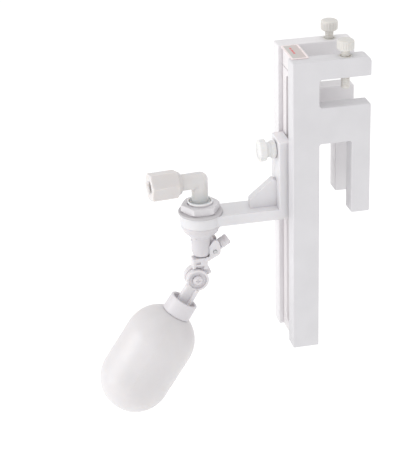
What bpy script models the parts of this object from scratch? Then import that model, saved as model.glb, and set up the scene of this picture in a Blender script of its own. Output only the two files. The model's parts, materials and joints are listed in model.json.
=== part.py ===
"""Float valve for an aquarium top-off line, on its hanging bracket. Metres, +Z up.

Two side plates and a slotted rail make the bracket. A slider on the rail carries an arm whose
ring eye holds the valve; the float hangs from the valve's lever. The origin is where the bracket
takes hold: on the clamp screws' plane, half way between the plates, level with the slot's floor.
"""

import math

import bmesh
import bpy
from mathutils import Matrix, Vector

MM = 0.001
GAP = 0.3 * MM

# Side plates, in the XZ plane
PLATE_LEFT, PLATE_RIGHT = -30.0 * MM, 13.0 * MM
LONG_LEG_RIGHT, SHORT_LEG_LEFT = -15.3 * MM, 2.6 * MM
PLATE_TOP, SLOT_TOP, SLOT_FLOOR = 26.3 * MM, 15.7 * MM, 0.0
NOTCH_TOP, SHORT_LEG_BOTTOM, PLATE_BOTTOM = -20.6 * MM, -62.5 * MM, -142.2 * MM
PLATE_THICKNESS, PLATE_SPACING = 9.8 * MM, 20.4 * MM
PLATE_MIDDLE = (PLATE_SPACING + PLATE_THICKNESS) / 2
EDGE_ROUND = 0.45 * MM

# Rail and its head block, between the plates
RAIL_LEFT, RAIL_THICKNESS = -27.5 * MM, 7.0 * MM
RAIL_WIDTH = PLATE_SPACING - 2 * GAP
RAIL_SLOT_WIDTH, RAIL_SLOT_TOP, RAIL_SLOT_BOTTOM = 6.4 * MM, 12.4 * MM, -136.0 * MM
HEAD_LEFT, HEAD_RIGHT, HEAD_HEIGHT = -29.4 * MM, -18.4 * MM, 10.6 * MM
LABEL_LENGTH, LABEL_WIDTH, LABEL_THICKNESS = 22.6 * MM, 9.6 * MM, 0.4 * MM
LABEL_CENTRE = (-24.2 * MM, -2.6 * MM)

# Clamp screws
CLAMP_HEAD_RADIUS, CLAMP_HEAD_HEIGHT, CLAMP_RADIUS = 4.65 * MM, 5.6 * MM, 2.4 * MM
CLAMP_LENGTH, CLAMP_HOLE_RADIUS = 21.4 * MM, 2.75 * MM
CLAMP_LIFT = {"front": 3.4 * MM, "rear": 4.6 * MM}

# Slider, arm and ring eye
SLIDER_LEFT, SLIDER_HALF_WIDTH, SLIDER_TOP = -34.5 * MM, 8.5 * MM, -22.3 * MM
ARM_TOP, ARM_BOTTOM = -61.35 * MM, -67.25 * MM
VALVE_X = -77.0 * MM
EYE_RADIUS, EYE_HOLE_RADIUS = 11.3 * MM, 7.4 * MM
GUSSET_HALF_WIDTH = 2.4 * MM
GUSSET_TIP, GUSSET_PEAK = (-49.5 * MM, -56.0 * MM), (-36.6 * MM, -45.4 * MM)
KNOB_Z, BOLT_HOLE_RADIUS = -28.7 * MM, 2.8 * MM

# Valve stem, its washer and locknut
WASHER_RADIUS, WASHER_THICKNESS = 12.15 * MM, 1.5 * MM
LOCKNUT_RADIUS, LOCKNUT_HEIGHT = 11.1 * MM, 4.1 * MM
TUBE_TOP, TUBE_RADIUS, TUBE_BORE = -53.9 * MM, 7.0 * MM, 6.0 * MM
BARREL_RADIUS, BARREL_BOTTOM, BARREL_BORE = 5.3 * MM, -86.3 * MM, 3.7 * MM

# Elbow, compression nut and supply-tube socket
ELBOW_Z, ELBOW_RADIUS, ELBOW_BORE = -42.0 * MM, 4.55 * MM, 3.0 * MM
ELBOW_TURN = math.radians(6.0)
ELBOW_AXIS = Vector((-math.cos(ELBOW_TURN), -math.sin(ELBOW_TURN), 0))
ELBOW_REACH, ELBOW_BOTTOM = 14.4 * MM, -62.0 * MM
NUT_RADIUS, NUT_START, NUT_LENGTH = 8.2 * MM, 11.2 * MM, 17.2 * MM
SUPPLY_TUBE_RADIUS = 3.3 * MM

# Lever, its pivot and the adjustable joint of the float arm
PIVOT = Vector((-70.2 * MM, 0, -83.9 * MM))
CHEEK_INNER, CHEEK_OUTER, CHEEK_RADIUS = 2.9 * MM, 4.6 * MM, 3.1 * MM
TAIL_TURN, TAIL_RADIUS = math.radians(32.0), 2.6 * MM
HINGE = Vector((-80.7 * MM, 0, -99.9 * MM))
HINGE_FRONT, HINGE_MIDDLE, HINGE_REAR = -6.0 * MM, -2.25 * MM, 3.3 * MM
HINGE_RADIUS = 6.3 * MM
NECK_LEFT, NECK_RIGHT, NECK_FRONT, NECK_REAR = -82.8 * MM, -74.4 * MM, -4.3 * MM, 2.0 * MM

# Float arm, collar and float
FLOAT_LEAN, FLOAT_Y = math.radians(33.4), -4.2 * MM
STEM_WIDTH, STEM_THICKNESS = 7.6 * MM, 3.4 * MM
COLLAR_START, COLLAR_RADIUS = 13.9 * MM, 7.9 * MM
FLOAT_START, FLOAT_LENGTH, FLOAT_RADIUS, FLOAT_WALL = 21.3 * MM, 66.0 * MM, 20.0 * MM, 1.3 * MM


def clear_scene():
    for obj in list(bpy.data.objects):
        bpy.data.objects.remove(obj, do_unlink=True)


def material(name, colour, roughness, transmission=0.0):
    made = bpy.data.materials.new(name)
    made.use_nodes = True
    shader = made.node_tree.nodes["Principled BSDF"]
    shader.inputs["Base Color"].default_value = (*colour, 1.0)
    shader.inputs["Roughness"].default_value = roughness
    shader.inputs["Transmission Weight"].default_value = transmission
    return made


def link(name, mesh):
    obj = bpy.data.objects.new(name, mesh)
    bpy.context.collection.objects.link(obj)
    return obj


def painted(obj, colour, roughness=0.4, transmission=0.0):
    obj.data.materials.append(material(obj.name, colour, roughness, transmission))
    return obj


def prism(name, outline, low, high, axis="Y"):
    """A flat outline given low to high along an axis. Its points are (x, z) for Y, (x, y) for Z."""
    made = bmesh.new()
    place = (lambda a, b: (a, low, b)) if axis == "Y" else (lambda a, b: (a, b, low))
    face = made.faces.new([made.verts.new(place(a, b)) for a, b in outline])
    grown = bmesh.ops.extrude_face_region(made, geom=[face])["geom"]
    step = Vector((0, high - low, 0)) if axis == "Y" else Vector((0, 0, high - low))
    verts = [v for v in grown if isinstance(v, bmesh.types.BMVert)]
    bmesh.ops.translate(made, verts=verts, vec=step)
    bmesh.ops.recalc_face_normals(made, faces=made.faces)
    mesh = bpy.data.meshes.new(name)
    made.to_mesh(mesh)
    made.free()
    return link(name, mesh)


def box(name, x, y, z):
    return prism(name, [(x[0], z[0]), (x[1], z[0]), (x[1], z[1]), (x[0], z[1])], *y)


def filleted(points, segments=3):
    """The outline with a rounded corner at each point given as (a, b, radius)."""
    out = []
    for i, (a, b, radius) in enumerate(points):
        here = Vector((a, b))
        if not radius:
            out.append((a, b))
            continue
        back = (Vector(points[i - 1][:2]) - here).normalized()
        ahead = (Vector(points[(i + 1) % len(points)][:2]) - here).normalized()
        half = back.angle(ahead) / 2
        centre = here + (back + ahead).normalized() * radius / math.sin(half)
        start = here + back * radius / math.tan(half) - centre
        turn = start.angle_signed(here + ahead * radius / math.tan(half) - centre)
        for k in range(segments + 1):
            point = centre + Matrix.Rotation(-turn * k / segments, 2) @ start
            out.append((point.x, point.y))
    return out


def ring_of(count, radius, turn=0.0, centre=(0.0, 0.0)):
    return [
        (
            centre[0] + radius * math.cos(turn + 2 * math.pi * i / count),
            centre[1] + radius * math.sin(turn + 2 * math.pi * i / count),
        )
        for i in range(count)
    ]


def hull(circles, count=20):
    """The convex outline round circles given as (x, z, radius), anticlockwise."""
    points = sorted({p for x, z, r in circles for p in ring_of(count, r, 0.05, (x, z))})

    def half(run):
        chain = []
        for p in run:
            while len(chain) > 1:
                a, b = chain[-2], chain[-1]
                if (b[0] - a[0]) * (p[1] - a[1]) - (b[1] - a[1]) * (p[0] - a[0]) > 0:
                    break
                chain.pop()
            chain.append(p)
        return chain[:-1]

    return half(points) + half(points[::-1])


def turned(name, profile, at, along=(0, 0, 1), steps=32, hollow=False):
    """A profile of (radius, height) down its outer side, turned about the axis through `at`."""
    made = bmesh.new()
    verts = [made.verts.new((r, 0, h)) for r, h in profile]
    for a, b in zip(verts, verts[1:]):
        made.edges.new((a, b))
    if hollow:
        made.edges.new((verts[-1], verts[0]))
    mesh = bpy.data.meshes.new(name)
    made.to_mesh(mesh)
    made.free()
    obj = link(name, mesh)
    obj.location = at
    obj.rotation_euler = Vector(along).to_track_quat("Z", "Y").to_euler()
    screw = obj.modifiers.new("Turn", "SCREW")
    screw.axis, screw.angle = "Z", 2 * math.pi
    screw.steps = screw.render_steps = steps
    screw.use_merge_vertices, screw.merge_threshold = True, 0.00001
    screw.use_smooth_shade = False
    return obj


def rod(name, radius, start, end, steps=24):
    start, end = Vector(start), Vector(end)
    length = (end - start).length
    profile = [(0, length), (radius, length), (radius, 0), (0, 0)]
    return turned(name, profile, start, end - start, steps)


def hexagonal(name, radius, low, high, at, along=(0, 0, 1), turn=0.0):
    obj = prism(name, ring_of(6, radius, turn), low, high, "Z")
    obj.location = at
    obj.rotation_euler = Vector(along).to_track_quat("Z", "Y").to_euler()
    return obj


def helper(obj):
    obj.hide_render = True
    obj.display_type = "WIRE"
    return obj


def combine(target, other, operation):
    helper(other)
    step = target.modifiers.new(other.name, "BOOLEAN")
    step.operation, step.solver, step.object = operation, "EXACT", other
    return target


def cut(target, *cutters):
    for cutter in cutters:
        combine(target, cutter, "DIFFERENCE")
    return target


def add(target, *pieces):
    for piece in pieces:
        combine(target, piece, "UNION")
    return target


def round_edges(obj, width=EDGE_ROUND, segments=1):
    step = obj.modifiers.new("Rounded edges", "BEVEL")
    step.width, step.segments = width, segments
    step.limit_method, step.angle_limit = "ANGLE", math.radians(40)
    step.use_clamp_overlap = True
    return obj


def origin_to(obj, point):
    """Moves the origin to the point and leaves the shape where it is."""
    shift = Vector(point) - obj.location
    obj.data.transform(Matrix.Translation(obj.rotation_euler.to_matrix().inverted() @ -shift))
    obj.location = point
    return obj


def side_plate(name, side):
    outline = filleted(
        [
            (PLATE_LEFT, PLATE_BOTTOM, 0.8 * MM),
            (LONG_LEG_RIGHT, PLATE_BOTTOM, 0.8 * MM),
            (LONG_LEG_RIGHT, NOTCH_TOP, 1.2 * MM),
            (SHORT_LEG_LEFT, NOTCH_TOP, 1.2 * MM),
            (SHORT_LEG_LEFT, SHORT_LEG_BOTTOM, 0.8 * MM),
            (PLATE_RIGHT, SHORT_LEG_BOTTOM, 0.8 * MM),
            (PLATE_RIGHT, SLOT_FLOOR, 0.8 * MM),
            (LONG_LEG_RIGHT, SLOT_FLOOR, 1.6 * MM),
            (LONG_LEG_RIGHT, SLOT_TOP, 1.6 * MM),
            (PLATE_RIGHT, SLOT_TOP, 0.8 * MM),
            (PLATE_RIGHT, PLATE_TOP, 3.0 * MM),
            (PLATE_LEFT, PLATE_TOP, 0.8 * MM),
        ]
    )
    half = PLATE_THICKNESS / 2
    middle = side * PLATE_MIDDLE
    plate = round_edges(prism(name, outline, middle - half, middle + half))
    hole = rod(
        name + "_hole", CLAMP_HOLE_RADIUS, (0, middle, SLOT_TOP - MM), (0, middle, PLATE_TOP + MM)
    )
    return painted(cut(plate, hole), (0.86, 0.85, 0.86), 0.45)


def slide_rail():
    half = RAIL_WIDTH / 2
    right = RAIL_LEFT + RAIL_THICKNESS
    top = PLATE_TOP - HEAD_HEIGHT - GAP
    rail = box("slide_rail", (RAIL_LEFT, right), (-half, half), (PLATE_BOTTOM + GAP, top))
    round_edges(rail, 0.3 * MM, 1)
    w = RAIL_SLOT_WIDTH / 2
    slot = prism(
        "rail_slot_cutter",
        hull([(0, RAIL_SLOT_BOTTOM + w, w), (0, RAIL_SLOT_TOP - w, w)]),
        -MM,
        RAIL_THICKNESS + MM,
    )
    slot.rotation_euler.z = -math.pi / 2
    slot.location.x = RAIL_LEFT
    return painted(cut(rail, slot), (0.84, 0.83, 0.84), 0.45)


def rail_head():
    half = RAIL_WIDTH / 2
    z = (PLATE_TOP - HEAD_HEIGHT, PLATE_TOP - 0.1 * MM)
    head = round_edges(box("rail_head", (HEAD_LEFT, HEAD_RIGHT), (-half, half), z))
    return painted(head, (0.86, 0.84, 0.84), 0.45)


def rail_label():
    x, y = LABEL_CENTRE
    a, b = LABEL_WIDTH / 2, LABEL_LENGTH / 2
    corners = [(x - a, y - b), (x + a, y - b), (x + a, y + b), (x - a, y + b)]
    outline = filleted([(*c, 0.9 * MM) for c in corners])
    low = PLATE_TOP + 0.05 * MM
    label = prism("rail_label", outline, low, low + LABEL_THICKNESS, "Z")
    return painted(label, (0.85, 0.72, 0.72), 0.35)


def clamp_screw(name, side, lift):
    r, shank, chamfer = CLAMP_HEAD_RADIUS, CLAMP_RADIUS, 0.9 * MM
    bottom = PLATE_TOP + lift
    top = bottom + CLAMP_HEAD_HEIGHT
    tip = bottom - CLAMP_LENGTH
    profile = [
        (0, top),
        (r - chamfer, top),
        (r, top - chamfer),
        (r, bottom + chamfer),
        (r - chamfer, bottom),
        (shank, bottom),
        (shank, tip + 0.6 * MM),
        (shank - 0.6 * MM, tip),
        (0, tip),
    ]
    at = Vector((0, side * PLATE_MIDDLE, 0))
    return painted(turned(name, profile, at, steps=20), (0.84, 0.83, 0.78), 0.4)


def slider_arm():
    w = SLIDER_HALF_WIDTH
    slider = box(
        "slider_arm", (SLIDER_LEFT, RAIL_LEFT - GAP), (-w, w), (ARM_BOTTOM, SLIDER_TOP)
    )
    arm = box("arm_bar", (VALVE_X, SLIDER_LEFT + MM), (-w, w), (ARM_BOTTOM, ARM_TOP))
    eye = rod("arm_eye", EYE_RADIUS, (VALVE_X, 0, ARM_BOTTOM), (VALVE_X, 0, ARM_TOP), 36)
    outline = [
        (GUSSET_TIP[0], ARM_TOP - MM),
        (SLIDER_LEFT + MM, ARM_TOP - MM),
        (SLIDER_LEFT + MM, GUSSET_PEAK[1] - 1.8 * MM),
        GUSSET_PEAK,
        GUSSET_TIP,
    ]
    gusset = prism("arm_gusset", outline, -GUSSET_HALF_WIDTH, GUSSET_HALF_WIDTH)
    add(slider, arm, eye, gusset)
    hole = rod(
        "eye_cutter",
        EYE_HOLE_RADIUS,
        (VALVE_X, 0, ARM_BOTTOM - MM),
        (VALVE_X, 0, ARM_TOP + MM),
        32,
    )
    ends = (SLIDER_LEFT - MM, 0, KNOB_Z), (RAIL_LEFT + MM, 0, KNOB_Z)
    bolt = rod("slider_bolt_cutter", BOLT_HOLE_RADIUS, *ends)
    origin_to(slider, (SLIDER_LEFT, 0, KNOB_Z))
    return painted(round_edges(cut(slider, hole, bolt), 0.4 * MM, 1), (0.88, 0.87, 0.89))


def slider_knob():
    base, waist, head, shank = 4.95 * MM, 3.9 * MM, 6.05 * MM, 2.4 * MM
    face = GAP
    profile = [
        (0, 9.7 * MM),
        (head - 0.7 * MM, 9.7 * MM),
        (head, 9.1 * MM),
        (head, 7.2 * MM),
        (head - 0.6 * MM, 6.6 * MM),
        (waist, 6.6 * MM),
        (waist, 2.2 * MM),
        (base, 2.2 * MM),
        (base, face),
        (shank, face),
        (shank, -18.2 * MM),
        (0, -18.2 * MM),
    ]
    at = Vector((SLIDER_LEFT, 0, KNOB_Z))
    return painted(turned("slider_knob", profile, at, (-1, 0, 0)), (0.82, 0.84, 0.83), 0.35)


def slider_nut():
    left = RAIL_LEFT + RAIL_THICKNESS + GAP
    nut = box(
        "slider_nut", (left, left + 4 * MM), (-7 * MM, 7 * MM), (KNOB_Z - 5 * MM, KNOB_Z + 5 * MM)
    )
    round_edges(nut, 0.4 * MM, 1)
    ends = (left - MM, 0, KNOB_Z), (left + 5 * MM, 0, KNOB_Z)
    cut(nut, rod("slider_nut_cutter", BOLT_HOLE_RADIUS, *ends))
    return painted(origin_to(nut, (left, 0, KNOB_Z)), (0.83, 0.83, 0.80))


def sealing_washer():
    low = ARM_TOP + 0.12 * MM
    high, inner = low + WASHER_THICKNESS, EYE_HOLE_RADIUS
    profile = [(WASHER_RADIUS, high), (WASHER_RADIUS, low), (inner, low), (inner, high)]
    washer = turned("sealing_washer", profile, (VALVE_X, 0, 0), steps=36, hollow=True)
    return painted(washer, (0.70, 0.66, 0.70), 0.7)


def locknut():
    low = ARM_TOP + WASHER_THICKNESS + 0.24 * MM
    at = Vector((VALVE_X, 0, 0))
    nut = hexagonal("locknut", LOCKNUT_RADIUS, low, low + LOCKNUT_HEIGHT, at)
    round_edges(nut, 0.5 * MM, 1)
    ends = (VALVE_X, 0, low - MM), (VALVE_X, 0, low + LOCKNUT_HEIGHT + MM)
    return painted(cut(nut, rod("locknut_cutter", EYE_HOLE_RADIUS, *ends, 32)), (0.87, 0.86, 0.88))


def valve_body():
    """Thread tube, flange, cone and barrel in one, with the lug that carries the lever."""
    flange = ARM_BOTTOM - 0.15 * MM
    profile = [
        (TUBE_RADIUS - 0.3 * MM, TUBE_TOP),
        (TUBE_RADIUS, TUBE_TOP - 0.3 * MM),
        (TUBE_RADIUS, flange),
        (11.0 * MM, flange),
        (11.0 * MM, -69.0 * MM),
        (9.7 * MM, -69.6 * MM),
        (9.4 * MM, -71.6 * MM),
        (5.6 * MM, -75.2 * MM),
        (BARREL_RADIUS, -76.0 * MM),
        (BARREL_RADIUS, -84.2 * MM),
        (4.7 * MM, BARREL_BOTTOM),
        (BARREL_BORE, BARREL_BOTTOM),
        (BARREL_BORE, -70.0 * MM),
        (TUBE_BORE, -69.0 * MM),
        (TUBE_BORE, TUBE_TOP),
    ]
    body = turned("valve_body", profile, (VALVE_X, 0, 0), steps=28, hollow=True)
    x, z, r = PIVOT.x, PIVOT.z, 2.45 * MM
    left = VALVE_X + BARREL_RADIUS - 0.8 * MM
    outline = hull([(x, z, r), (left + r / 3, z + 1.2 * MM, r / 3), (left + r / 3, z + 2.8 * MM, r / 3)])
    lug = prism("pivot_lug", outline, -2.6 * MM, 2.6 * MM)
    nub = rod("barrel_nub", 0.6 * MM, (VALVE_X - 5 * MM, 0, -77.4 * MM), (VALVE_X - 6 * MM, 0, -77.4 * MM), 8)
    add(body, lug, nub)
    hole = rod("lug_cutter", 1.15 * MM, (x, -4 * MM, z), (x, 4 * MM, z), 16)
    return painted(cut(body, hole), (0.84, 0.82, 0.85))


def valve_seat():
    top, bottom, outer = -71.4 * MM, -75.0 * MM, BARREL_BORE - 0.15 * MM
    profile = [
        (outer, top),
        (outer, bottom + 0.8 * MM),
        (1.9 * MM, bottom),
        (1.3 * MM, bottom),
        (1.3 * MM, top - MM),
        (2.4 * MM, top),
    ]
    seat = turned("valve_seat", profile, (VALVE_X, 0, 0), steps=24, hollow=True)
    return painted(seat, (0.80, 0.80, 0.78))


def plunger():
    top, shoulder, foot = -77.5 * MM, -84.6 * MM, -87.1 * MM
    profile = [
        (0, top),
        (3.3 * MM, top),
        (3.3 * MM, shoulder),
        (1.5 * MM, shoulder),
        (1.5 * MM, foot),
        (0, foot),
    ]
    made = turned("plunger", profile, (VALVE_X, 0, 0), steps=24)
    for i in range(3):
        turn = 2 * math.pi * i / 3 + 0.5
        x, y = VALVE_X + 3.5 * MM * math.cos(turn), 3.5 * MM * math.sin(turn)
        groove = rod(f"plunger_groove_{i}", 0.9 * MM, (x, y, shoulder - MM), (x, y, top + MM), 10)
        cut(made, groove)
    return painted(made, (0.85, 0.85, 0.83))


def plunger_seal():
    top, bottom = -76.3 * MM, -77.35 * MM
    profile = [(0, top), (2.9 * MM, top), (2.9 * MM, bottom), (0, bottom)]
    return painted(
        turned("plunger_seal", profile, (VALVE_X, 0, 0), steps=24), (0.12, 0.12, 0.12), 0.8
    )


def elbow():
    """Swivel elbow: its lower leg plugs into the thread tube."""
    corner = Vector((VALVE_X, 0, ELBOW_Z))
    r, groove = ELBOW_RADIUS, 3.9 * MM
    rings = [-57.4 * MM, -60.2 * MM]
    profile = [(0, ELBOW_Z), (r, ELBOW_Z)]
    for z in rings:
        profile += [(r, z + 0.9 * MM), (groove, z + 0.9 * MM), (groove, z - 0.9 * MM), (r, z - 0.9 * MM)]
    profile += [(r - 0.4 * MM, ELBOW_BOTTOM), (0, ELBOW_BOTTOM)]
    body = turned("elbow", profile, (VALVE_X, 0, 0), steps=24)
    ball = [(r * math.sin(math.pi * i / 10), r * math.cos(math.pi * i / 10)) for i in range(11)]
    ball = turned("elbow_ball", [(round(a, 6), b) for a, b in ball], corner, steps=24)
    leg = rod("elbow_leg", r, corner, corner + ELBOW_AXIS * ELBOW_REACH, 24)
    add(body, ball, leg)
    down = rod("elbow_bore_down", ELBOW_BORE, corner, (VALVE_X, 0, ELBOW_BOTTOM - MM), 16)
    out = rod("elbow_bore_out", ELBOW_BORE, corner, corner + ELBOW_AXIS * (ELBOW_REACH + MM), 16)
    bend = [
        (ELBOW_BORE * math.sin(math.pi * i / 6), ELBOW_BORE * math.cos(math.pi * i / 6))
        for i in range(7)
    ]
    bend = turned("elbow_bore_bend", [(round(a, 6), b) for a, b in bend], corner, steps=16)
    return painted(cut(body, down, out, bend), (0.86, 0.84, 0.80), 0.35, 0.1)


def o_ring(name, z):
    section, middle = 0.85 * MM, 4.95 * MM
    profile = [(middle + section * math.cos(a), z + section * math.sin(a)) for a in
               [math.pi / 2 - 2 * math.pi * i / 6 for i in range(6)]]
    ring = turned(name, profile, (VALVE_X, 0, 0), steps=20, hollow=True)
    return painted(ring, (0.10, 0.10, 0.10), 0.6)


def compression_nut():
    corner = Vector((VALVE_X, 0, ELBOW_Z))
    start, end = NUT_START, NUT_START + NUT_LENGTH
    nut = hexagonal("compression_nut", NUT_RADIUS, start + 2.2 * MM, end, corner, ELBOW_AXIS, 0.2)
    shell = [
        (6.3 * MM, end + MM),
        (NUT_RADIUS + MM, end - 1.6 * MM),
        (NUT_RADIUS + MM, start + 4.4 * MM),
        (5.4 * MM, start),
        (0, start),
    ]
    shell = turned("nut_envelope", [(0, end + MM)] + shell, corner, ELBOW_AXIS)
    cone = [(0, start + 6 * MM), (6.9 * MM, start + 6 * MM), (6.9 * MM, start + 2 * MM)]
    cone += [(5.9 * MM, start), (0, start)]
    skirt = turned("nut_skirt", cone, corner, ELBOW_AXIS)
    combine(nut, shell, "INTERSECT")
    add(nut, skirt)
    bore = [
        (0, end + MM),
        (SUPPLY_TUBE_RADIUS, end + MM),
        (SUPPLY_TUBE_RADIUS, start + 8.6 * MM),
        (ELBOW_RADIUS + GAP, start + 7.4 * MM),
        (ELBOW_RADIUS + GAP, start - MM),
        (0, start - MM),
    ]
    bore = turned("nut_bore", bore, corner, ELBOW_AXIS, 28)
    return painted(cut(nut, bore), (0.85, 0.83, 0.80))


def ferrule():
    corner = Vector((VALVE_X, 0, ELBOW_Z))
    start = ELBOW_REACH + 0.3 * MM
    profile = [
        (3.6 * MM, start + 2.6 * MM),
        (4.4 * MM, start + 1.6 * MM),
        (4.4 * MM, start),
        (3.0 * MM, start),
        (3.0 * MM, start + 2.6 * MM),
    ]
    ring = turned("ferrule", profile, corner, ELBOW_AXIS, 28, hollow=True)
    return painted(ring, (0.78, 0.77, 0.74))


def lever():
    """Forked at its pivot, with the neck under the barrel and the fixed disc of the joint."""
    x, z, r = PIVOT.x, PIVOT.z, CHEEK_RADIUS
    tail = Vector((math.cos(TAIL_TURN), 0, math.sin(TAIL_TURN)))
    left, right = NECK_LEFT, NECK_RIGHT
    outline = [
        (left, -88.75 * MM),
        (left, -94.4 * MM),
        (right, -94.4 * MM),
        (right, -87.25 * MM),
    ]
    neck = prism("lever", outline, NECK_FRONT, NECK_REAR)
    upper = (x + 0.3 * MM, z + 4.3 * MM, 2.2 * MM)
    lower = (right - 0.6 * MM, z - 4.6 * MM, 1.2 * MM)
    cheeks = prism("lever_cheeks", hull([(x, z, r), upper]), -CHEEK_OUTER, CHEEK_OUTER)
    yoke = prism("lever_yoke", hull([(x, z - 1.2 * MM, r - 1.2 * MM), lower]), -CHEEK_OUTER, CHEEK_OUTER)
    boss = rod("lever_boss", 3.0 * MM, PIVOT + tail * 1.5 * MM, PIVOT + tail * 4.2 * MM, 20)
    face = HINGE_MIDDLE + 0.15 * MM
    profile = [
        (0, -face),
        (HINGE_RADIUS - 1.0 * MM, -face),
        (HINGE_RADIUS - 1.0 * MM, -face - 1.2 * MM),
        (HINGE_RADIUS, -face - 1.2 * MM),
        (HINGE_RADIUS, -HINGE_REAR),
        (0, -HINGE_REAR),
    ]
    disc = turned("lever_disc", profile, HINGE, (0, -1, 0))
    tab = prism(
        "lever_tab",
        [(-75.0 * MM, -92.6 * MM), (-79.0 * MM, -99.6 * MM), (-73.4 * MM, -99.2 * MM),
         (-71.7 * MM, -98.2 * MM), (-74.0 * MM, -92.6 * MM)],
        face + 1.2 * MM,
        HINGE_REAR,
    )
    add(neck, cheeks, yoke, boss, disc, tab)
    slot = prism(
        "fork_cutter",
        hull([(x, z, 2.75 * MM), (x - 9 * MM, z + 0.9 * MM, 3.6 * MM), (x - 3 * MM, z + 9 * MM, 5.8 * MM)]),
        -CHEEK_INNER,
        CHEEK_INNER,
    )
    barrel = rod(
        "barrel_cutter",
        BARREL_RADIUS + 0.55 * MM,
        (VALVE_X, 0, BARREL_BOTTOM - 0.5 * MM),
        (VALVE_X, 0, BARREL_BOTTOM + 20 * MM),
        32,
    )
    hole = rod("pin_cutter", 1.15 * MM, (x, -8 * MM, z), (x, 8 * MM, z), 16)
    screw = rod("tail_cutter", 1.45 * MM, PIVOT, PIVOT + tail * 6 * MM, 14)
    joint = rod(
        "joint_cutter", 1.7 * MM, HINGE + Vector((0, -8 * MM, 0)), HINGE + Vector((0, 8 * MM, 0)), 16
    )
    clear = rod(
        "disc_clearance",
        HINGE_RADIUS + 0.35 * MM,
        HINGE + Vector((0, -9 * MM, 0)),
        HINGE + Vector((0, face, 0)),
        32,
    )
    upper = box("window_upper", (-80.9 * MM, -78.5 * MM), (-8 * MM, -2 * MM), (-91.0 * MM, -89.5 * MM))
    lower = box("window_lower", (-81.2 * MM, -76.6 * MM), (-8 * MM, -2 * MM), (-93.6 * MM, -92.0 * MM))
    cut(neck, slot, barrel, hole, screw, joint, clear, upper, lower)
    return painted(origin_to(neck, PIVOT), (0.83, 0.81, 0.84))


def lever_pin():
    ends = PIVOT + Vector((0, -4.9 * MM, 0)), PIVOT + Vector((0, 4.9 * MM, 0))
    return painted(rod("lever_pin", 0.95 * MM, *ends, 16), (0.62, 0.62, 0.62), 0.3)


def lever_screw():
    """Thumb screw in the lever's tail that sets the water level."""
    tail = Vector((math.cos(TAIL_TURN), 0, math.sin(TAIL_TURN)))
    profile = [
        (0, 9.8 * MM),
        (TAIL_RADIUS - 0.4 * MM, 9.8 * MM),
        (TAIL_RADIUS, 9.4 * MM),
        (TAIL_RADIUS, 4.9 * MM),
        (TAIL_RADIUS - 0.3 * MM, 4.5 * MM),
        (1.15 * MM, 4.5 * MM),
        (1.15 * MM, 2.95 * MM),
        (0, 2.95 * MM),
    ]
    return painted(turned("lever_screw", profile, PIVOT, tail, 20), (0.80, 0.79, 0.81))


def arm_axis():
    return Vector((-math.sin(FLOAT_LEAN), 0, -math.cos(FLOAT_LEAN)))


def float_arm():
    """The turning disc of the joint with its cup rim, and the flat stem down to the collar."""
    front, back = HINGE_FRONT, HINGE_MIDDLE - 0.15 * MM
    r = HINGE_RADIUS
    profile = [
        (r - 0.3 * MM, -front),
        (r, -front - 0.3 * MM),
        (r, -back),
        (1.7 * MM, -back),
        (1.7 * MM, -front - 1.3 * MM),
        (r - 1.3 * MM, -front - 1.3 * MM),
        (r - 1.3 * MM, -front),
    ]
    disc = turned("float_arm", profile, HINGE, (0, -1, 0), 28, hollow=True)
    axis = arm_axis()
    across = Vector((-axis.z, 0, axis.x))
    start, end = HINGE + axis * 5.2 * MM, HINGE + axis * (COLLAR_START + 4.2 * MM)
    w, t = STEM_WIDTH / 2, STEM_THICKNESS / 2
    corners = [start - across * w, end - across * w, end + across * w, start + across * w]
    stem = prism("arm_stem", [(p.x, p.z) for p in corners], FLOAT_Y - t, FLOAT_Y + t)
    rib_at = [start + across * (w - 2.2 * MM), end + across * (w - 2.2 * MM)]
    corners = [rib_at[0], rib_at[1], end + across * w, start + across * w]
    rib = prism("arm_rib", [(p.x, p.z) for p in corners], FLOAT_Y - t - MM, FLOAT_Y - t + 0.5 * MM)
    return painted(add(disc, stem, rib), (0.84, 0.83, 0.85))


def joint_screw():
    profile = [
        (0, 6.7 * MM),
        (1.6 * MM, 6.7 * MM),
        (2.7 * MM, 5.9 * MM),
        (2.7 * MM, 5.0 * MM),
        (1.4 * MM, 5.0 * MM),
        (1.4 * MM, -6.4 * MM),
        (0, -6.4 * MM),
    ]
    return painted(turned("joint_screw", profile, HINGE, (0, -1, 0), 20), (0.70, 0.70, 0.70), 0.3)


def joint_nut():
    nut = hexagonal("joint_nut", 3.3 * MM, HINGE_REAR + GAP, HINGE_REAR + 2.7 * MM, HINGE, (0, 1, 0))
    ends = HINGE + Vector((0, MM, 0)), HINGE + Vector((0, 8 * MM, 0))
    return painted(cut(nut, rod("joint_nut_cutter", 1.7 * MM, *ends, 16)), (0.72, 0.72, 0.72), 0.3)


def float_root():
    """The point where the arm's axis crosses the joint, in the float's own plane."""
    return Vector((HINGE.x, FLOAT_Y, HINGE.z))


def float_collar():
    """A cup that takes the stem. Its underside follows the float's rounded top."""
    s, r = COLLAR_START, COLLAR_RADIUS
    floor, centre = s + 4.6 * MM, FLOAT_START + FLOAT_RADIUS
    seat = [
        (a, -(centre - math.sqrt((FLOAT_RADIUS + GAP) ** 2 - a * a)))
        for a in (r, 6.0 * MM, 4.0 * MM, 2.0 * MM, 0)
    ]
    profile = [
        (0, -floor),
        (r - 2.0 * MM, -floor),
        (r - 1.7 * MM, -s - 0.5 * MM),
        (r - 1.2 * MM, -s),
        (r - 0.5 * MM, -s),
        (r, -s - 0.5 * MM),
    ]
    collar = turned("float_collar", profile + seat, float_root(), -arm_axis(), 28)
    return painted(collar, (0.88, 0.87, 0.89))


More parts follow.
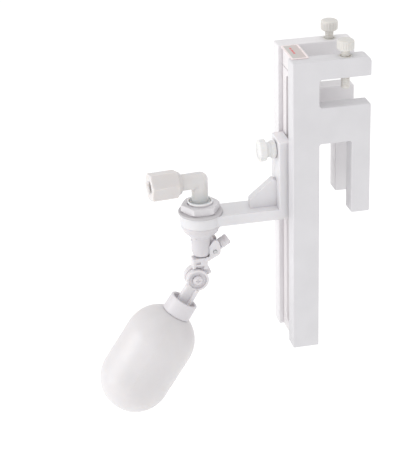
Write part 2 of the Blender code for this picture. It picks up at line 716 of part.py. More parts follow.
def capsule(radius, start, end, mouth):
    """A profile down a capsule's outer side, open at the top where its radius is `mouth`."""
    low, high = start + radius, end - radius
    first = math.asin(mouth / radius)
    turns = [first + (math.pi / 2 - first) * i / 6 for i in range(7)]
    profile = [(radius * math.sin(a), -low + radius * math.cos(a)) for a in turns]
    turns = [math.pi / 2 * i / 6 for i in range(6)]
    return profile + [(radius * math.cos(a), -high - radius * math.sin(a)) for a in turns] + [
        (0, -end)
    ]


def float_shell():
    """A hollow capsule. A small moulding hole under the collar keeps it open."""
    start, end, wall, mouth = FLOAT_START, FLOAT_START + FLOAT_LENGTH, FLOAT_WALL, 2.2 * MM
    outer = capsule(FLOAT_RADIUS, start, end, mouth)
    inner = capsule(FLOAT_RADIUS - wall, start + wall, end - wall, mouth)
    profile = outer + inner[::-1]
    shell = turned("float_shell", profile, float_root(), -arm_axis(), 32, hollow=True)
    return painted(shell, (0.86, 0.84, 0.85), 0.35)


def main():
    clear_scene()
    side_plate("front_side_plate", -1)
    side_plate("rear_side_plate", 1)
    slide_rail()
    rail_head()
    rail_label()
    clamp_screw("front_clamp_screw", -1, CLAMP_LIFT["front"])
    clamp_screw("rear_clamp_screw", 1, CLAMP_LIFT["rear"])
    slider_arm()
    slider_knob()
    slider_nut()
    sealing_washer()
    locknut()
    valve_body()
    valve_seat()
    plunger()
    plunger_seal()
    elbow()
    o_ring("upper_o_ring", -57.4 * MM)
    o_ring("lower_o_ring", -60.2 * MM)
    compression_nut()
    ferrule()
    lever()
    lever_pin()
    lever_screw()
    float_arm()
    joint_screw()
    joint_nut()
    float_collar()
    float_shell()


main()
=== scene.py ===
"""Looks for the float valve on its hanging bracket. Every moulding that shows is rebuilt in fine
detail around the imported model, with procedural plastics, on a pale floor under soft light."""

import json
import math
import bmesh
import bpy
from mathutils import Matrix, Vector


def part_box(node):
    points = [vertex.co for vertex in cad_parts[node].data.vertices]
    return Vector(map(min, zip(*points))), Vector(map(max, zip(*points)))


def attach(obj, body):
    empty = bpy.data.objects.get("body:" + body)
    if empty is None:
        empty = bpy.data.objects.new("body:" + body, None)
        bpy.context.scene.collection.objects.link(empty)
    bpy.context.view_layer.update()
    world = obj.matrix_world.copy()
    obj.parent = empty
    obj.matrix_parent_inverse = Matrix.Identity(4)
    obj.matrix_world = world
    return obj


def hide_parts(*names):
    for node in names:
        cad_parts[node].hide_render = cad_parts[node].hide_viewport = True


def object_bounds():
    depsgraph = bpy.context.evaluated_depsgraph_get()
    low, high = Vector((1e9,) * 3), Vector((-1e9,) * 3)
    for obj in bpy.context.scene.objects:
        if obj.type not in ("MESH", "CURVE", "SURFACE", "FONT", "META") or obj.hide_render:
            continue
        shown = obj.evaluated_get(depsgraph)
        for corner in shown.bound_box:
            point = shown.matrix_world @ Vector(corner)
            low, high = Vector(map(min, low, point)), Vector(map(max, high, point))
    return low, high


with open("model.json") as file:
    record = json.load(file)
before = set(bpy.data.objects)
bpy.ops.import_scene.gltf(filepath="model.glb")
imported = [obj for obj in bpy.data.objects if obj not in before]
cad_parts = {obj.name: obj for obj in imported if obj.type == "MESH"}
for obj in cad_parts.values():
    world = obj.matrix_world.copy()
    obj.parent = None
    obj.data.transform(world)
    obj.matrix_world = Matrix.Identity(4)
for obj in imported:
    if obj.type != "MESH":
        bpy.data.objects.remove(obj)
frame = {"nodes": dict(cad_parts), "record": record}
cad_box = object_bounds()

MM = 0.001
BODY_OF = {
    node: body
    for body, nodes in frame["record"]["behaviour"]["bodies"].items()
    for node in nodes
}
JOINTS = {joint["name"]: joint for joint in frame["record"]["behaviour"]["joints"]}


# ---------------------------------------------------------------- outlines and profiles


def rounded(points, radius=0.0, segments=4, closed=True):
    """The outline with its corners as arcs. A point is (a, b) or (a, b, its own radius)."""
    out = []
    for i, point in enumerate(points):
        here = Vector(point[:2])
        wanted = point[2] if len(point) > 2 else radius
        if not wanted or (not closed and i in (0, len(points) - 1)):
            out.append((here.x, here.y))
            continue
        back = Vector(points[i - 1][:2]) - here
        ahead = Vector(points[(i + 1) % len(points)][:2]) - here
        half = back.angle(ahead) / 2
        if half > math.radians(88):
            out.append((here.x, here.y))
            continue
        reach = min(wanted / math.tan(half), 0.49 * back.length, 0.49 * ahead.length)
        wanted = reach * math.tan(half)
        back.normalize()
        ahead.normalize()
        centre = here + (back + ahead).normalized() * wanted / math.sin(half)
        start = here + back * reach - centre
        turn = start.angle_signed(here + ahead * reach - centre)
        for k in range(segments + 1):
            spot = centre + Matrix.Rotation(-turn * k / segments, 2) @ start
            out.append((spot.x, spot.y))
    return out


def circle(count, radius, centre=(0.0, 0.0), turn=0.0):
    step = 2 * math.pi / count
    return [
        (
            centre[0] + radius * math.cos(turn + i * step),
            centre[1] + radius * math.sin(turn + i * step),
        )
        for i in range(count)
    ]


def hull(circles, count=64):
    """The convex outline round circles given as (a, b, radius)."""
    points = sorted({p for a, b, r in circles for p in circle(count, r, (a, b), 0.03)})

    def half(run):
        chain = []
        for p in run:
            while len(chain) > 1:
                a, b = chain[-2], chain[-1]
                if (b[0] - a[0]) * (p[1] - a[1]) - (b[1] - a[1]) * (p[0] - a[0]) > 0:
                    break
                chain.pop()
            chain.append(p)
        return chain[:-1]

    return half(points) + half(points[::-1])


def thread_run(radius, start, end, pitch, depth, per_turn=6):
    """Profile points for a screw thread, fading in and out over one turn at each end."""
    count = max(2, round(abs(end - start) / pitch * per_turn))
    points = []
    for i in range(count + 1):
        h = start + (end - start) * i / count
        fade = min(1.0, abs(h - start) / pitch, abs(h - end) / pitch)
        points.append((radius, h, depth * fade, 0.0))
    return points


# ---------------------------------------------------------------- solids


def link(name, mesh):
    obj = bpy.data.objects.new(name, mesh)
    bpy.context.scene.collection.objects.link(obj)
    return obj


def from_bmesh(name, made):
    bmesh.ops.recalc_face_normals(made, faces=made.faces)
    mesh = bpy.data.meshes.new(name)
    made.to_mesh(mesh)
    made.free()
    return link(name, mesh)


def slab(name, outline, low, high, axis="Y"):
    """An outline given thickness. Its points are (x, z) for Y, (x, y) for Z and (y, z) for X."""
    place = {
        "X": lambda a, b, c: (c, a, b),
        "Y": lambda a, b, c: (a, c, b),
        "Z": lambda a, b, c: (a, b, c),
    }[axis]
    made = bmesh.new()
    near = [made.verts.new(place(a, b, low)) for a, b in outline]
    far = [made.verts.new(place(a, b, high)) for a, b in outline]
    made.faces.new(near)
    made.faces.new(far)
    for i in range(len(near)):
        j = (i + 1) % len(near)
        made.faces.new((near[i], near[j], far[j], far[i]))
    return from_bmesh(name, made)


def block(name, low, high, radius=0.0, axis="Y"):
    """A box between two corners, with the four corners of its outline rounded."""
    a, b, c = {"X": (1, 2, 0), "Y": (0, 2, 1), "Z": (0, 1, 2)}[axis]
    corners = [(low[a], low[b]), (high[a], low[b]), (high[a], high[b]), (low[a], high[b])]
    return slab(name, rounded(corners, radius, 6), low[c], high[c], axis)


def standing(at, along):
    """The placement that puts the origin at a point and turns Z along a direction."""
    turn = Vector(along).to_track_quat("Z", "Y").to_matrix().to_4x4()
    return Matrix.Translation(Vector(at)) @ turn


def lathe(name, profile, at=(0, 0, 0), along=(0, 0, 1), steps=96, pitch=1.0, ribs=0, tube=False):
    """Turns (radius, height) points about an axis. A third value cuts a thread that deep, and a
    fourth cuts ribs that deep. A tube's profile closes on itself; any other meets the axis."""
    made = bmesh.new()
    turned = standing(at, along)
    rings = []
    for point in profile:
        r, h = point[:2]
        thread, rib = (point[2], point[3]) if len(point) > 2 else (0.0, 0.0)
        if r < 1e-7:
            rings.append([made.verts.new(turned @ Vector((0, 0, h)))])
            continue
        ring = []
        for i in range(steps):
            turn = 2 * math.pi * i / steps
            wave = abs(((h / pitch - i / steps) % 1.0) * 2 - 1)
            depth = thread * min(1.0, max(0.0, wave * 1.5 - 0.2))
            depth += rib * (0.5 - 0.5 * math.cos(ribs * turn)) ** 1.5
            spot = Vector(((r - depth) * math.cos(turn), (r - depth) * math.sin(turn), h))
            ring.append(made.verts.new(turned @ spot))
        rings.append(ring)
    pairs = list(zip(rings, rings[1:]))
    if tube:
        pairs.append((rings[-1], rings[0]))
    for upper, lower in pairs:
        for i in range(steps):
            j = (i + 1) % steps
            corners = [upper[i % len(upper)], upper[j % len(upper)]]
            corners += [lower[j % len(lower)], lower[i % len(lower)]]
            corners = list(dict.fromkeys(corners))
            if len(corners) > 2:
                made.faces.new(corners)
    return from_bmesh(name, made)


def rod(name, radius, start, end, steps=64):
    start, end = Vector(start), Vector(end)
    length = (end - start).length
    profile = [(0, length), (radius, length), (radius, 0), (0, 0)]
    return lathe(name, profile, start, end - start, steps)


def settle(obj):
    """Works the modifiers into the mesh."""
    graph = bpy.context.evaluated_depsgraph_get()
    mesh = bpy.data.meshes.new_from_object(obj.evaluated_get(graph), depsgraph=graph)
    obj.modifiers.clear()
    old, obj.data = obj.data, mesh
    bpy.data.meshes.remove(old)
    return obj


def volume(obj):
    made = bmesh.new()
    made.from_mesh(obj.data)
    found = made.calc_volume()
    made.free()
    return found


BOOLEAN_ATTEMPTS, BOOLEAN_SLACK = 8, 0.002
BOOLEAN_NUDGE = Vector((0.7, 1.1, 0.9)) * 0.001 * MM


def combine(obj, others, operation):
    """A Boolean whose volume is checked, and done again with the other solid moved by about a
    micrometre if the solver lost a part of it."""
    for other in others:
        first, second = volume(obj), volume(other)
        least = {"UNION": max(first, second), "DIFFERENCE": first - second, "INTERSECT": 0.0}
        most = {"UNION": first + second, "DIFFERENCE": first, "INTERSECT": min(first, second)}
        start = obj.data.copy()
        for attempt in range(BOOLEAN_ATTEMPTS):
            step = obj.modifiers.new("Combine", "BOOLEAN")
            step.operation, step.solver, step.object = operation, "EXACT", other
            step.use_self = attempt % 2 == 1
            settle(obj)
            found = volume(obj)
            low = least[operation] * (1 - BOOLEAN_SLACK)
            high = most[operation] * (1 + BOOLEAN_SLACK)
            if found > 0 and low < found < high:
                break
            obj.data = start.copy()
            other.data.transform(Matrix.Translation(BOOLEAN_NUDGE))
        else:
            raise RuntimeError(f"{obj.name}: the {operation} with {other.name} fails")
        bpy.data.objects.remove(other, do_unlink=True)
    return obj


def join(obj, *others):
    return combine(obj, others, "UNION")


def cut(obj, *others):
    return combine(obj, others, "DIFFERENCE")


def soften(obj, width, segments=3, angle=35):
    """Rounds the edges, both outer ones and the roots where two faces meet."""
    step = obj.modifiers.new("Soften", "BEVEL")
    step.width, step.segments = width, segments
    step.limit_method, step.angle_limit = "ANGLE", math.radians(angle)
    step.use_clamp_overlap = True
    step.miter_outer = "MITER_ARC"
    return settle(obj)


def smooth(obj, angle=50):
    obj.data.shade_smooth()
    obj.data.set_sharp_from_angle(angle=math.radians(angle))
    step = obj.modifiers.new("Even normals", "WEIGHTED_NORMAL")
    step.keep_sharp = True
    return settle(obj)


# ---------------------------------------------------------------- materials


class Nodes:
    """A short way to build one material's node tree."""

    def __init__(self, name):
        self.material = bpy.data.materials.new(name)
        self.material.use_nodes = True
        self.tree = self.material.node_tree
        self.shader = self.tree.nodes["Principled BSDF"]
        self.place = self.add("ShaderNodeTexCoord").outputs["Object"]

    def add(self, kind, **settings):
        node = self.tree.nodes.new(kind)
        for key, value in settings.items():
            setattr(node, key, value)
        return node

    def wire(self, source, target):
        self.tree.links.new(source, target)

    def noise(self, scale, detail=3.0, stretch=None):
        node = self.add("ShaderNodeTexNoise")
        node.inputs["Scale"].default_value = scale
        node.inputs["Detail"].default_value = detail
        place = self.place
        if stretch:
            mapping = self.add("ShaderNodeMapping")
            mapping.inputs["Scale"].default_value = stretch
            self.wire(place, mapping.inputs["Vector"])
            place = mapping.outputs["Vector"]
        self.wire(place, node.inputs["Vector"])
        return node.outputs["Fac"]

    def span(self, value, low, high, out_low=0.0, out_high=1.0):
        node = self.add("ShaderNodeMapRange")
        self.wire(value, node.inputs["Value"])
        settings = {"From Min": low, "From Max": high, "To Min": out_low, "To Max": out_high}
        for key, number in settings.items():
            node.inputs[key].default_value = number
        return node.outputs["Result"]

    def mix(self, factor, first, second, blend="MIX"):
        node = self.add("ShaderNodeMix", data_type="RGBA", blend_type=blend)
        self.wire(factor, node.inputs[0])
        for socket, value in ((node.inputs[6], first), (node.inputs[7], second)):
            if isinstance(value, tuple):
                socket.default_value = (*value, 1.0)
            else:
                self.wire(value, socket)
        return node.outputs[2]


def scaled(colour, amount):
    return tuple(min(1.0, c * amount) for c in colour)


CLOUD_SCALE, SPECK_SCALE, PATCH_SCALE = 70, 900, 220
GRAIN_SCALE, GRAIN_HEIGHT = 2600, 0.05 * MM
WAVE_SCALE, WAVE_HEIGHT = 160, 0.4 * MM
# How far the occlusion mask of the painted shade reaches.
PAINTED_SHADE_REACH = 2.5 * MM


def plastic(
    name,
    colour,
    roughness=0.4,
    mottle=0.035,
    grain=0.05,
    soft=0.0,
    soft_reach=2.0 * MM,
    # the darker tint of the painted shade in roots and hollows
    painted_shade_tint=(0.92, 0.89, 0.91),
    edge=1.05,
    stretch=None,
    ior=1.49,
    coat=0.0,
    fade=None,
):
    """Moulded plastic: cloudy flow marks, specks, edges lightened partly as wear and partly as a
    painted highlight, painted shade in the roots and hollows, a fine grain and a slight waviness. A
    fade of (axis, start, end, colour) turns the clouds gradually to another colour along X, Y or Z;
    on the arm, the valve body and the elbow the fade is painted light and shade. The specks and the
    lightened edges keep the first colour."""
    n = Nodes(name)
    cloud = n.span(n.noise(CLOUD_SCALE, 4.0, stretch), 0.3, 0.7)
    base = n.mix(cloud, scaled(colour, 1 - mottle), scaled(colour, 1 + mottle * 0.6))
    if fade:
        axis, start, end, last = fade
        parts = n.add("ShaderNodeSeparateXYZ")
        n.wire(n.place, parts.inputs["Vector"])
        base = n.mix(n.span(parts.outputs[axis], start, end), base, last)
    speck = n.span(n.noise(SPECK_SCALE, 2.0), 0.62, 0.78, 0.0, 0.35)
    base = n.mix(speck, base, scaled(colour, 1 - mottle * 2))
    geometry = n.add("ShaderNodeNewGeometry")
    # Convex edges, found by pointiness, are lightened: partly worn edges, partly a painted
    # highlight.
    worn_and_highlit_edges = n.span(geometry.outputs["Pointiness"], 0.52, 0.60, 0.0, 0.8)
    base = n.mix(worn_and_highlit_edges, base, scaled(colour, edge))
    # Painted shade: an occlusion mask multiplies the colour by a darker tint in roots, hollows and
    # between parts.
    shade = n.add("ShaderNodeAmbientOcclusion", samples=6)
    shade.inputs["Distance"].default_value = PAINTED_SHADE_REACH
    painted_shade_mask = n.span(shade.outputs["AO"], 0.85, 0.25, 0.0, 0.7)
    base = n.mix(painted_shade_mask, base, painted_shade_tint, "MULTIPLY")
    n.wire(base, n.shader.inputs["Base Color"])
    patches = n.noise(PATCH_SCALE, 3.0)
    n.wire(
        n.span(patches, 0.3, 0.7, roughness - 0.06, roughness + 0.08),
        n.shader.inputs["Roughness"],
    )
    bump = n.add("ShaderNodeBump")
    bump.inputs["Strength"].default_value = grain * 4
    bump.inputs["Distance"].default_value = GRAIN_HEIGHT
    n.wire(n.noise(GRAIN_SCALE, 2.0), bump.inputs["Height"])
    wave = n.add("ShaderNodeBump")
    wave.inputs["Strength"].default_value = grain * 2
    wave.inputs["Distance"].default_value = WAVE_HEIGHT
    n.wire(n.noise(WAVE_SCALE, 1.0), wave.inputs["Height"])
    n.wire(bump.outputs["Normal"], wave.inputs["Normal"])
    n.wire(wave.outputs["Normal"], n.shader.inputs["Normal"])
    n.shader.inputs["IOR"].default_value = ior
    n.shader.inputs["Coat Weight"].default_value = coat
    n.shader.inputs["Coat Roughness"].default_value = 0.15
    if soft:
        n.shader.inputs["Subsurface Weight"].default_value = soft
        n.shader.inputs["Subsurface Radius"].default_value = (1.0, 0.85, 0.7)
        n.shader.inputs["Subsurface Scale"].default_value = soft_reach
    return n.material


def steel(name):
    """Drawn steel, with fine lines along its length."""
    n = Nodes(name)
    lines = n.span(n.noise(900, 3.0, (1.0, 0.04, 1.0)), 0.3, 0.7)
    n.wire(n.mix(lines, (0.50, 0.50, 0.51), (0.66, 0.66, 0.66)), n.shader.inputs["Base Color"])
    n.wire(n.span(lines, 0.0, 1.0, 0.22, 0.38), n.shader.inputs["Roughness"])
    n.shader.inputs["Metallic"].default_value = 1.0
    return n.material


# The darker tint of the painted shade in the fitting's roots and hollows, for the elbow and its
# nut.
FITTING_PAINTED_SHADE = (0.90, 0.86, 0.84)
LOOKS = {
    "plate": plastic("bracket_plastic", (0.655, 0.645, 0.664), roughness=0.42, grain=0.04),
    # The rear plate is the front plate's plastic made lighter: painted light that offsets the shade
    # between the plates.
    "rear_plate": plastic("rear_plate_plastic", (0.765, 0.748, 0.762), roughness=0.42, grain=0.04),
    "rail": plastic("rail_plastic", (0.740, 0.712, 0.722), roughness=0.45, stretch=(1, 1, 0.2)),
    "arm": plastic(
        "arm_plastic",
        (0.668, 0.660, 0.676),
        roughness=0.40,
        soft=0.25,
        # Lighter towards the slider and the gusset: painted light that offsets the shade the plates
        # cast on them.
        fade=("X", -58.0 * MM, -42.0 * MM, (0.850, 0.832, 0.850)),
    ),
    "body": plastic(
        "valve_plastic",
        (0.625, 0.606, 0.626),
        roughness=0.33,
        soft=0.35,
        # Lighter at the very top of the threaded tube: a painted highlight on its lit rim.
        fade=("Z", -55.6 * MM, -54.4 * MM, (0.860, 0.860, 0.860)),
    ),
    "linkage": plastic("linkage_plastic", (0.690, 0.671, 0.690), roughness=0.33, soft=0.35),
    "nut": plastic("locknut_plastic", (0.662, 0.645, 0.662), roughness=0.34),
    "nylon": plastic(
        "clamp_nylon",
        (0.675, 0.656, 0.628),
        roughness=0.38,
        mottle=0.07,
        grain=0.10,
        soft=0.25,
        painted_shade_tint=(0.86, 0.83, 0.78),
    ),
    "knob": plastic("knob_nylon", (0.770, 0.767, 0.762), roughness=0.32, soft=0.3),
    "elbow": plastic(
        "fitting_plastic",
        (0.668, 0.644, 0.638),
        roughness=0.34,
        mottle=0.04,
        soft=0.7,
        soft_reach=4.0 * MM,
        painted_shade_tint=FITTING_PAINTED_SHADE,
        # Darker grey towards the foot of the leg, where it goes into the tube: painted shade.
        fade=("Z", -46.0 * MM, -52.0 * MM, (0.520, 0.532, 0.532)),
    ),
    "fitting_nut": plastic(
        "fitting_nut_plastic",
        (0.628, 0.602, 0.596),
        roughness=0.34,
        mottle=0.04,
        soft=0.5,
        painted_shade_tint=FITTING_PAINTED_SHADE,
    ),
    "rubber": plastic(
        "washer_rubber", (0.530, 0.514, 0.526), roughness=0.62, mottle=0.05, grain=0.12, ior=1.5
    ),
    "seal": plastic(
        # Strongly lightened edges on the black rubber: partly wear, partly a painted highlight.
        "seal_rubber", (0.035, 0.034, 0.034), roughness=0.55, mottle=0.20, grain=0.12, edge=1.6
    ),
    "float": plastic(
        "float_plastic",
        (0.672, 0.645, 0.650),
        roughness=0.36,
        mottle=0.03,
        soft=0.3,
        soft_reach=4.0 * MM,
        painted_shade_tint=(0.86, 0.82, 0.84),
    ),
    "collar": plastic("collar_plastic", (0.645, 0.624, 0.646), roughness=0.36, soft=0.15),
    "small": plastic("screw_plastic", (0.690, 0.665, 0.685), roughness=0.30, soft=0.25),
    "film": plastic(
        "label_film", (0.860, 0.760, 0.755), roughness=0.30, mottle=0.02, grain=0.02, coat=0.3
    ),
    "field": plastic(
        "label_field",
        (0.520, 0.500, 0.480),
        roughness=0.35,
        mottle=0.06,
        grain=0.02,
        fade=("X", -26.0 * MM, -22.5 * MM, (0.650, 0.455, 0.445)),
    ),
    "ink": plastic("label_ink", (0.700, 0.150, 0.160), roughness=0.40, mottle=0.08, grain=0.02),
    "steel": steel("pin_steel"),
}


def show(piece, look, *nodes, body=None, angle=50):
    """Gives a piece its shading, look and body, and hides the CAD nodes that it stands for."""
    smooth(piece, angle)
    piece.data.materials.clear()
    piece.data.materials.append(LOOKS[look])
    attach(piece, body or BODY_OF[nodes[0]])
    if nodes:
        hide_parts(*nodes)
    return piece


def relook(node, look):
    """A CAD node whose shape is right keeps its mesh and gets a better material."""
    for slot in frame["nodes"][node].material_slots:
        slot.material = LOOKS[look]


# ---------------------------------------------------------------- bracket

SLOT_TOP, NOTCH_TOP, SHORT_LEG_BOTTOM = 15.7 * MM, -20.6 * MM, -62.5 * MM
LONG_LEG_RIGHT, SHORT_LEG_LEFT = -15.3 * MM, 2.6 * MM


def side_plate(side):
    """A thick moulded plate with a slot for the tank's rim, a long leg and a short one, and the
    threaded insert of its clamp screw."""
    node = side + "_side_plate"
    low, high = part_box(node)
    outline = rounded(
        [
            (low.x, low.z),
            (LONG_LEG_RIGHT, low.z),
            (LONG_LEG_RIGHT, NOTCH_TOP, 1.2 * MM),
            (SHORT_LEG_LEFT, NOTCH_TOP, 1.2 * MM),
            (SHORT_LEG_LEFT, SHORT_LEG_BOTTOM),
            (high.x, SHORT_LEG_BOTTOM),
            (high.x, 0.0),
            (LONG_LEG_RIGHT, 0.0, 1.6 * MM),
            (LONG_LEG_RIGHT, SLOT_TOP, 1.6 * MM),
            (high.x, SLOT_TOP),
            (high.x, high.z, 3.0 * MM),
            (low.x, high.z),
        ],
        0.8 * MM,
        8,
    )
    plate = soften(slab(side + "_plate_shell", outline, low.y, high.y), 0.55 * MM, 4)
    middle = (low.y + high.y) / 2
    seat, clearance, flare = 3.65 * MM, 2.75 * MM, 3.20 * MM
    hole = [
        (0, high.z + MM),
        (seat, high.z + MM),
        (seat, high.z - 1.2 * MM),
        (clearance, high.z - 1.2 * MM),
        (clearance, SLOT_TOP + 0.35 * MM),
        (flare, SLOT_TOP - 0.10 * MM),
        (flare, SLOT_TOP - MM),
        (0, SLOT_TOP - MM),
    ]
    cut(plate, lathe("hole", hole, (0, middle, 0)))
    show(plate, "plate" if side == "front" else "rear_plate", node)
    top, bore, rim = high.z + 0.22 * MM, 2.46 * MM, 3.60 * MM
    insert = [
        (bore, top - 0.25 * MM),
        (2.70 * MM, top),
        (3.40 * MM, top),
        (rim, top - 0.2 * MM),
        (rim, high.z - 1.15 * MM),
        (bore, high.z - 1.15 * MM),
    ]
    ring = lathe(side + "_clamp_insert", insert, (0, middle, 0), tube=True)
    show(ring, "nylon", body="bracket")


def slide_rail():
    """The flat rail between the plates, with the long slot that the carriage's screw runs in."""
    low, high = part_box("slide_rail")
    rail = soften(block("rail_body", low, high), 0.35 * MM, 3)
    r, bottom, top = 3.2 * MM, -136.0 * MM, 12.4 * MM
    outline = hull([(0, bottom + r, r), (0, top - r, r)])
    cut(rail, slab("slot", outline, low.x - MM, high.x + MM, "X"))
    show(soften(rail, 0.3 * MM, 2, 60), "rail", "slide_rail")


def rail_head():
    """Fills the gap between the plates above the rail, flush with the rail's outer face."""
    low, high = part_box("rail_head")
    low.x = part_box("slide_rail")[0].x
    head = soften(block("head_block", low, high, 0.5 * MM, "Z"), 0.45 * MM, 3)
    show(head, "rail", "rail_head")


# Where each dash's middle lies along the label, and how long the dash is, in millimetres.
DASHES = ((-2.0, 2.6), (1.6, 3.6), (5.4, 2.2))


def rail_label():
    """A printed film with a plain border and three short dashes in place of the real mark."""
    low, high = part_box("rail_label")
    film = soften(block("label_border", low, high, 0.9 * MM, "Z"), 0.08 * MM, 2)
    show(film, "film", "rail_label")
    rim = 1.15 * MM
    inner_low = Vector((low.x + rim, low.y + rim, high.z - 0.02 * MM))
    inner_high = Vector((high.x - rim, high.y - rim, high.z + 0.03 * MM))
    show(block("label_panel", inner_low, inner_high, 0.5 * MM, "Z"), "field", body="bracket")
    middle = (low + high) / 2
    for i, (along, length) in enumerate(DASHES):
        centre = Vector((middle.x - 0.9 * MM, middle.y + along * MM, 0))
        a = Vector((centre.x - 0.5 * MM, centre.y - length * MM / 2, inner_high.z - 0.01 * MM))
        b = Vector((centre.x + 0.5 * MM, centre.y + length * MM / 2, inner_high.z + 0.04 * MM))
        show(block(f"label_dash_{i + 1}", a, b, 0.3 * MM, "Z"), "ink", body="bracket")


def clamp_screw(side):
    """A nylon thumb screw: ribbed head, short neck, and a thread down to a blunt tip."""
    node = side + "_clamp_screw"
    low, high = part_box(node)
    r, head, rows = (high.x - low.x) / 2, 5.6 * MM, 6
    bottom, tip, shank = high.z - head, low.z, 2.4 * MM
    rib, pitch = 0.28 * MM, 1.0 * MM
    crown = rounded(
        [(0, high.z), (r - 0.7 * MM, high.z), (r - 0.1 * MM, high.z - 0.55 * MM)],
        0.45 * MM,
        4,
        closed=False,
    )
    side_run = []
    for k in range(rows + 1):
        h = high.z - 0.7 * MM - (head - 1.5 * MM) * k / rows
        side_run.append((r, h, 0.0, rib if 0 < k < rows else rib * 0.6))
    under = rounded(
        [(r - 0.15 * MM, bottom + 0.65 * MM), (r - 0.9 * MM, bottom), (shank, bottom)],
        0.3 * MM,
        4,
        closed=False,
    )
    profile = crown + side_run + under
    profile += [(shank - 0.25 * MM, bottom - 0.3 * MM)]
    profile += thread_run(shank, bottom - 1.0 * MM, tip + 0.9 * MM, pitch, 0.34 * MM)
    profile += [(shank - 0.5 * MM, tip + 0.1 * MM), (shank - 0.7 * MM, tip), (0, tip)]
    at = (0, (low.y + high.y) / 2, 0)
    screw = lathe(side + "_thumb_screw", profile, at, pitch=pitch, ribs=20, steps=160)
    show(screw, "nylon", node, angle=60)


# ---------------------------------------------------------------- slider and arm

VALVE_X = JOINTS["locknut_turn"]["pos_m"][0]
KNOB_Z = JOINTS["knob_turn"]["pos_m"][2]
ARM_TOP, ARM_BOTTOM = -61.35 * MM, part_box("slider_arm")[0].z
THREAD_HOLE, BOLT_HOLE = 7.4 * MM, 2.8 * MM


def slider_arm():
    """The slider, its arm with the ring eye for the valve, and the gusset between them."""
    low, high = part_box("slider_arm")
    left = high.x - 6.7 * MM
    w = 8.5 * MM
    slider = soften(
        block("arm_moulding", (left, -w, low.z), (high.x, w, high.z), 0.5 * MM, "X"), 0.5 * MM
    )
    bar = block("bar", (VALVE_X, -w, ARM_BOTTOM), (left + 2 * MM, w, ARM_TOP))
    eye = rod("eye", 11.3 * MM, (VALVE_X, 0, ARM_BOTTOM), (VALVE_X, 0, ARM_TOP), 128)
    tip, peak = (-49.5 * MM, -56.0 * MM), (-36.6 * MM, -45.4 * MM)
    outline = rounded(
        [
            (tip[0], ARM_TOP - MM, 0.0),
            (left + MM, ARM_TOP - MM, 0.0),
            (left + MM, peak[1] - 1.8 * MM, 0.0),
            peak,
            tip,
        ],
        0.9 * MM,
        4,
    )
    gusset = slab("gusset", outline, -2.4 * MM, 2.4 * MM)
    join(slider, join(bar, eye), gusset)
    soften(slider, 0.5 * MM, 3, 40)
    hole = rod("hole", THREAD_HOLE, (VALVE_X, 0, ARM_BOTTOM - MM), (VALVE_X, 0, ARM_TOP + MM), 96)
    bolt = rod("bolt", BOLT_HOLE, (left - MM, 0, KNOB_Z), (high.x + MM, 0, KNOB_Z), 48)
    cut(slider, hole, bolt)
    show(slider, "arm", "slider_arm")


def slider_knob():
    """A turned thumb knob with a waist and a dished end, on a threaded shank."""
    low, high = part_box("slider_knob")
    length, pitch = 18.2 * MM, 0.8 * MM
    face = high.x - low.x - length
    base, waist, head, shank = 4.95 * MM, 4.15 * MM, 6.05 * MM, 2.4 * MM
    inner = rounded(
        [
            (0, face - 0.55 * MM),
            (head - 1.5 * MM, face - 0.55 * MM),
            (head - 1.25 * MM, face),
            (head, face, 0.6 * MM),
            (head, face - 3.9 * MM, 0.6 * MM),
            (waist, face - 4.5 * MM, 0.7 * MM),
            (waist, 3.4 * MM, 0.7 * MM),
            (base, 2.8 * MM, 0.5 * MM),
            (base, 0.3 * MM, 0.25 * MM),
            (shank, 0.3 * MM),
        ],
        0.2 * MM,
        5,
        closed=False,
    )
    profile = inner + thread_run(shank, 0.1 * MM, -17.6 * MM, pitch, 0.3 * MM)
    profile += [(shank - 0.5 * MM, -18.1 * MM), (0, -length)]
    at = (high.x - length, 0, KNOB_Z)
    knob = lathe("thumb_knob", profile, at, (-1, 0, 0), pitch=pitch)
    show(knob, "knob", "slider_knob", angle=60)


def slider_nut():
    """The square nut behind the rail, which the knob draws tight."""
    low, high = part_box("slider_nut")
    nut = soften(block("clamp_block", low, high, 0.8 * MM, "X"), 0.4 * MM)
    hole = rod("hole", BOLT_HOLE, (low.x - MM, 0, KNOB_Z), (high.x + MM, 0, KNOB_Z), 48)
    show(cut(nut, hole), "nylon", "slider_nut")


# ---------------------------------------------------------------- valve


def sealing_washer():
    low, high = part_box("sealing_washer")
    outer, inner = (high.x - low.x) / 2, THREAD_HOLE
    profile = rounded(
        [(outer, high.z), (outer, low.z), (inner, low.z), (inner, high.z)], 0.45 * MM, 5
    )
    washer = lathe("rubber_washer", profile, (VALVE_X, 0, 0), steps=128, tube=True)
    show(washer, "rubber", "sealing_washer", angle=60)


def chamfered_hexagon(name, radius, low, high, at, along=(0, 0, 1), turn=0.0, slope=0.7, bite=0.85):
    """A hexagon whose corners a cone turns down at both ends, by `bite` millimetres at the face."""
    rim = radius + 0.1 * MM
    flare, face = slope * bite * MM, rim - bite * MM
    nut = slab(name, circle(6, radius, turn=turn), low, high, "Z")
    nut.data.transform(standing(at, along))
    cone = [
        (0, high),
        (face, high),
        (rim, high - flare),
        (rim, low + flare),
        (face, low),
        (0, low),
    ]
    return combine(nut, [lathe("cone", cone, at, along, 128)], "INTERSECT")


def locknut():
    low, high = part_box("locknut")
    at = (VALVE_X, 0, 0)
    radius, bore = (high.x - low.x) / 2, 7.08 * MM
    nut = chamfered_hexagon("valve_locknut", radius, low.z, high.z, at, slope=0.5, bite=1.2)
    hole = [
        (0, high.z + MM),
        (7.20 * MM, high.z + 0.1 * MM),
        (bore, high.z - 0.2 * MM),
        (bore, low.z + 0.3 * MM),
        (7.45 * MM, low.z - 0.1 * MM),
        (0, low.z - MM),
    ]
    cut(nut, lathe("hole", hole, at))
    show(soften(nut, 0.25 * MM, 3, 25), "nut", "locknut")


